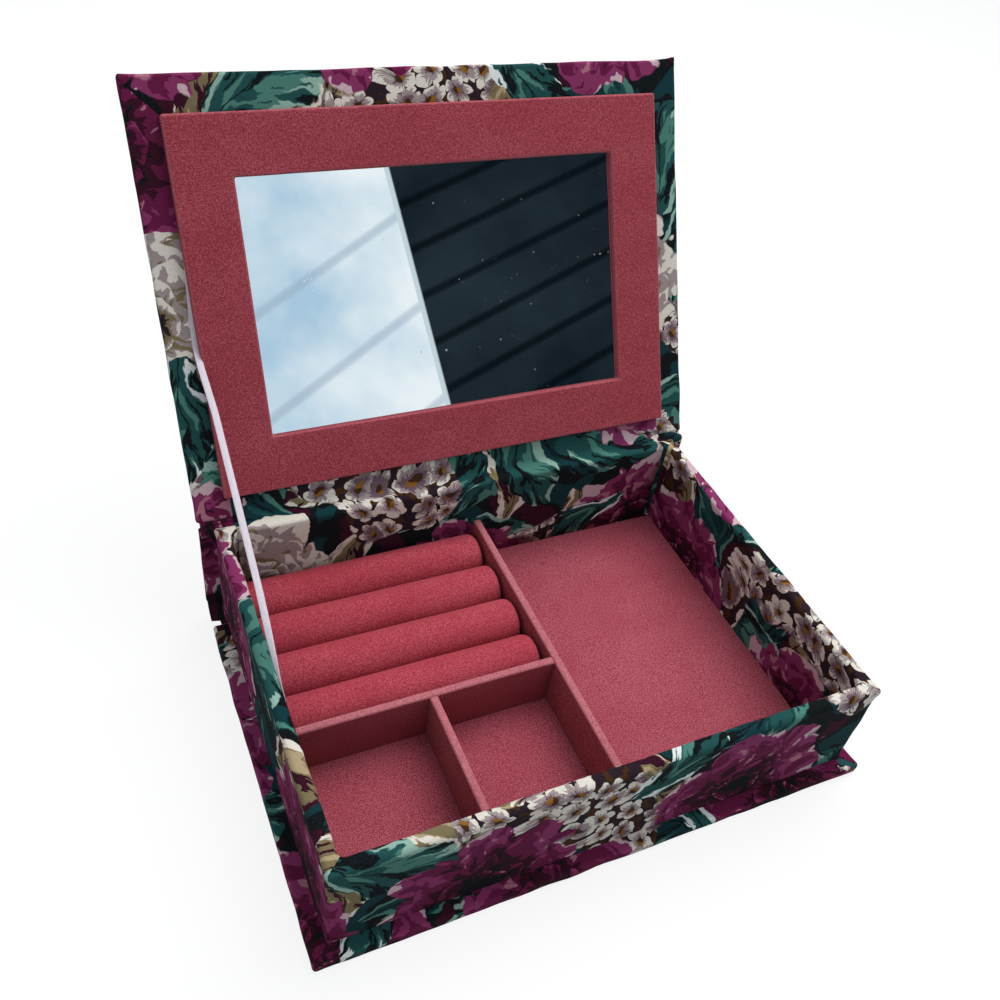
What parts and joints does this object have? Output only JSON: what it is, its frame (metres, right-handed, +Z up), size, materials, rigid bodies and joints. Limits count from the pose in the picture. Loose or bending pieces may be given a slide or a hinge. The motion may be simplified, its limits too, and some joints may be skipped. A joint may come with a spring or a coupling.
{
  "type": "vanity box with mirror",
  "caption": "Cloth-covered clamshell box with a framed mirror inside its hinged lid, held open by a ribbon, over a tray with suede-lined compartments and ring rolls.",
  "frame": {"origin": "on the underside of the base, in the middle of the closed case's footprint", "axes": "+X to the box's right, the front faces -Y and the spine +Y, +Z up"},
  "size_m": [0.233, 0.2472, 0.2021],
  "materials": {
    "printed_cloth": null,
    "suede": "crimson suede cloth with a short nap, matte",
    "grey_board": "dense grey bookbinding board, matte",
    "foam": "soft upholstery foam, matte",
    "mirror": "silvered float glass with ground edges",
    "ribbon": "narrow woven satin ribbon, soft sheen"
  },
  "bodies": {
    "box": {"base_board": "grey_board", "base_cover": "printed_cloth", "base_joint_cloth": "printed_cloth", "spine_board": "grey_board", "spine_cover": "printed_cloth", "tray_front_board": "grey_board", "tray_back_board": "grey_board", "tray_left_board": "grey_board", "tray_right_board": "grey_board", "tray_cover": "printed_cloth", "tray_floor_card": "grey_board", "large_floor_lining": "suede", "small_floor_lining_left": "suede", "small_floor_lining_right": "suede", "ring_bed": "foam", "long_divider_board": "grey_board", "long_divider_cover": "suede", "cross_divider_board": "grey_board", "cross_divider_cover": "suede", "short_divider_board": "grey_board", "short_divider_cover": "suede", "ring_roll_core_1": "foam", "ring_roll_core_2": "foam", "ring_roll_core_3": "foam", "ring_roll_core_4": "foam", "ring_roll_cover_1": "suede", "ring_roll_cover_2": "suede", "ring_roll_cover_3": "suede", "ring_roll_cover_4": "suede", "hinge_liner_tray": "printed_cloth", "ribbon_stay": "ribbon"},
    "lid": {"lid_board": "grey_board", "lid_cover": "printed_cloth", "lid_hinge_cloth": "printed_cloth", "hinge_liner_lid": "printed_cloth", "mirror_spacer": "grey_board", "mirror_glass": "mirror", "mirror_frame_board": "grey_board", "mirror_frame_cover": "suede"}
  },
  "joints": [
    {"name": "lid_hinge", "type": "hinge", "parent": "box", "child": "lid", "pos_m": [0, 0.0837, 0.0534], "axis": [1, 0, 0], "range_deg": [0, 117.6], "deforming": ["ribbon_stay", "lid_hinge_cloth"]}
  ]
}
